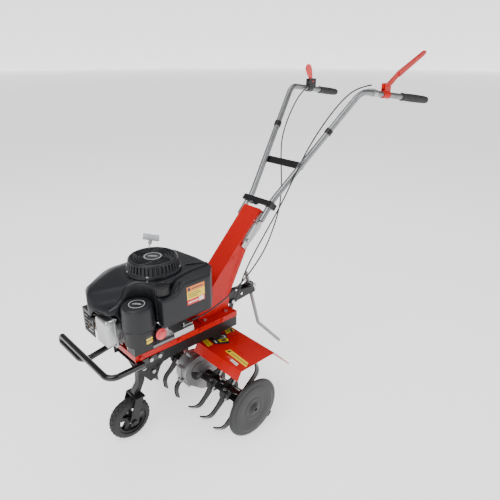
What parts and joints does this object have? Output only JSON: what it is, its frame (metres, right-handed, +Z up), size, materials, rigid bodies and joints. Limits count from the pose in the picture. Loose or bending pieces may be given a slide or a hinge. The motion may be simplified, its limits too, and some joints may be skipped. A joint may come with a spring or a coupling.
{
  "type": "tiller",
  "caption": "Walk-behind petrol tiller with a vertical-shaft engine, tine rotor between guard discs, front transport wheel, bumper, fenders and two raised handles.",
  "frame": {"origin": "on the ground under the middle of the machine's length and width", "axes": "+Z up, -Y the way it travels, +X its left side"},
  "size_m": [0.596, 1.459, 1.237],
  "materials": {
    "red_paint": "gloss enamel",
    "black_paint": "gloss powder coat",
    "zinc": "bright zinc",
    "steel": "machined",
    "tube": "satin silver",
    "casting": "as cast",
    "cowl_plastic": "satin",
    "bulb_rubber": "soft",
    "grip_rubber": "ribbed",
    "tyre_rubber": "treaded",
    "disc_steel": "satin",
    "belt_rubber": "fabric faced",
    "cable_jacket": "smooth",
    "foam": "open foam",
    "white_steel": "silver paint",
    "rope": "braided",
    "red_plastic": "gloss",
    "grey_plastic": "satin"
  },
  "bodies": {
    "chassis": {"chassis_deck": "red_paint", "chassis_rails": "black_paint", "frame_bolts": "zinc", "front_bumper": "black_paint", "fenders": "red_paint", "leg_bracket": "black_paint", "gearbox_left": "casting", "gearbox_right": "casting", "gearbox_bushes": "steel", "drive_belt": "belt_rubber", "crankcase": "casting", "cylinder": "casting", "valve_cover": "zinc", "spark_plug": "steel", "muffler": "steel", "muffler_shield": "black_paint", "engine_cowl": "cowl_plastic", "fuel_tank": "cowl_plastic", "starter_housing": "cowl_plastic", "engine_screws": "zinc", "air_cleaner": "cowl_plastic", "air_filter": "foam", "carburettor": "zinc", "column": "red_paint", "slot_plates": "zinc", "hitch_bracket": "black_paint", "throttle_cable": "cable_jacket", "clutch_cable": "cable_jacket", "starter_rope": "rope"},
    "rotor": {"tine_shaft": "steel", "tine_hubs": "black_paint", "tines": "black_paint", "rotor_fasteners": "zinc", "guard_discs": "disc_steel"},
    "worm": {"worm_shaft": "steel"},
    "crank": {"crankshaft": "steel", "flywheel": "casting"},
    "idler_arm": {"idler_arm": "steel"},
    "idler_pulley": {"idler_pulley": "cowl_plastic"},
    "leg": {"wheel_leg": "black_paint"},
    "front_wheel": {"wheel_rim": "cowl_plastic", "wheel_tyre": "tyre_rubber"},
    "handlebar": {"handlebar": "tube", "handlebar_bolts": "zinc", "handlebar_crosspieces": "black_paint", "cable_fittings": "zinc", "grips": "grip_rubber", "lever_bracket": "red_paint", "throttle_housing": "cowl_plastic"},
    "clutch_lever": {"clutch_lever": "red_paint"},
    "throttle_lever": {"throttle_lever": "red_plastic"},
    "throttle_arm": {"throttle_arm": "zinc"},
    "fuel_cap": {"fuel_cap": "cowl_plastic"},
    "cleaner_lid": {"cleaner_lid": "cowl_plastic"},
    "primer_bulb": {"primer_bulb": "bulb_rubber"},
    "pull_handle": {"pull_handle": "grey_plastic"},
    "starter_reel": {"starter_reel": "cowl_plastic"},
    "oil_cap": {"oil_cap": "cowl_plastic"},
    "depth_spur": {"depth_spur": "white_steel"},
    "spur_pin": {"spur_pin": "zinc"}
  },
  "joints": [
    {"name": "tine_spin", "type": "hinge", "parent": "chassis", "child": "rotor", "pos_m": [0, -0.3025, 0.108], "axis": [1, 0, 0], "continuous": true},
    {"name": "worm_spin", "type": "hinge", "parent": "chassis", "child": "worm", "pos_m": [0, -0.2365, 0.2], "axis": [0, 0, 1], "continuous": true},
    {"name": "crank_spin", "type": "hinge", "parent": "chassis", "child": "crank", "pos_m": [0, -0.4785, 0.43], "axis": [0, 0, 1], "continuous": true},
    {"name": "idler_swing", "type": "hinge", "parent": "chassis", "child": "idler_arm", "pos_m": [0.058, -0.2685, 0.309], "axis": [0, 0, 1], "range_deg": [-12, 0], "deforming": ["drive_belt"]},
    {"name": "idler_spin", "type": "hinge", "parent": "idler_arm", "child": "idler_pulley", "pos_m": [0.049, -0.3505, 0.321], "axis": [0, 0, 1], "continuous": true},
    {"name": "leg_swing", "type": "hinge", "parent": "chassis", "child": "leg", "pos_m": [0, -0.5645, 0.268], "axis": [1, 0, 0], "range_deg": [-45, 0]},
    {"name": "wheel_spin", "type": "hinge", "parent": "leg", "child": "front_wheel", "pos_m": [0, -0.6225, 0.075], "axis": [1, 0, 0], "continuous": true},
    {"name": "handlebar_height", "type": "hinge", "parent": "chassis", "child": "handlebar", "pos_m": [0, -0.1125, 0.608], "axis": [1, 0, 0], "range_deg": [-6, 9], "deforming": ["throttle_cable", "clutch_cable"]},
    {"name": "clutch_squeeze", "type": "hinge", "parent": "handlebar", "child": "clutch_lever", "pos_m": [0.186, 0.4735, 1.116], "axis": [1, 0, 0], "range_deg": [-30, 0], "stiffness_Nm_per_rad": 1.2, "springref_deg": 40.11},
    {"name": "throttle_turn", "type": "hinge", "parent": "handlebar", "child": "throttle_lever", "pos_m": [-0.186, 0.4765, 1.113], "axis": [1, 0, 0], "range_deg": [-35, 35]},
    {"name": "throttle_arm_turn", "type": "hinge", "parent": "chassis", "child": "throttle_arm", "pos_m": [0.112, -0.4525, 0.425], "axis": [0, 0, 1], "range_deg": [-21, 21]},
    {"name": "fuel_cap_lift", "type": "slide", "parent": "chassis", "child": "fuel_cap", "axis": [0, 0, 1], "range_m": [0, 0.04]},
    {"name": "cleaner_lid_lift", "type": "slide", "parent": "chassis", "child": "cleaner_lid", "axis": [0, 0, 1], "range_m": [0, 0.06]},
    {"name": "primer_push", "type": "slide", "parent": "chassis", "child": "primer_bulb", "axis": [-1, 0, 0], "range_m": [0, 0.004], "stiffness_N_per_m": 600},
    {"name": "starter_pull", "type": "slide", "parent": "chassis", "child": "pull_handle", "axis": [0.161, 0.2013, 0.9662], "range_m": [0, 0.45], "stiffness_N_per_m": 12, "springref_m": -0.1, "deforming": ["starter_rope"]},
    {"name": "reel_spin", "type": "hinge", "parent": "chassis", "child": "starter_reel", "pos_m": [0, -0.4785, 0.627], "axis": [0, 0, 1], "range_deg": [0, 930]},
    {"name": "oil_cap_lift", "type": "slide", "parent": "chassis", "child": "oil_cap", "axis": [0, 0, 1], "range_m": [0, 0.03]},
    {"name": "spur_slide", "type": "slide", "parent": "chassis", "child": "depth_spur", "axis": [0, 0.2543, -0.9671], "range_m": [-0.08, 0]},
    {"name": "pin_pull", "type": "slide", "parent": "depth_spur", "child": "spur_pin", "axis": [1, 0, 0], "range_m": [0, 0.05]}
  ],
  "couplings": [
    {"joint": "worm_spin", "follows": "tine_spin", "ratio": 24},
    {"joint": "idler_swing", "follows": "clutch_squeeze", "ratio": 0.4},
    {"joint": "throttle_arm_turn", "follows": "throttle_turn", "ratio": 0.6},
    {"joint": "reel_spin", "follows": "starter_pull", "rad_per_m": 35.7}
  ]
}
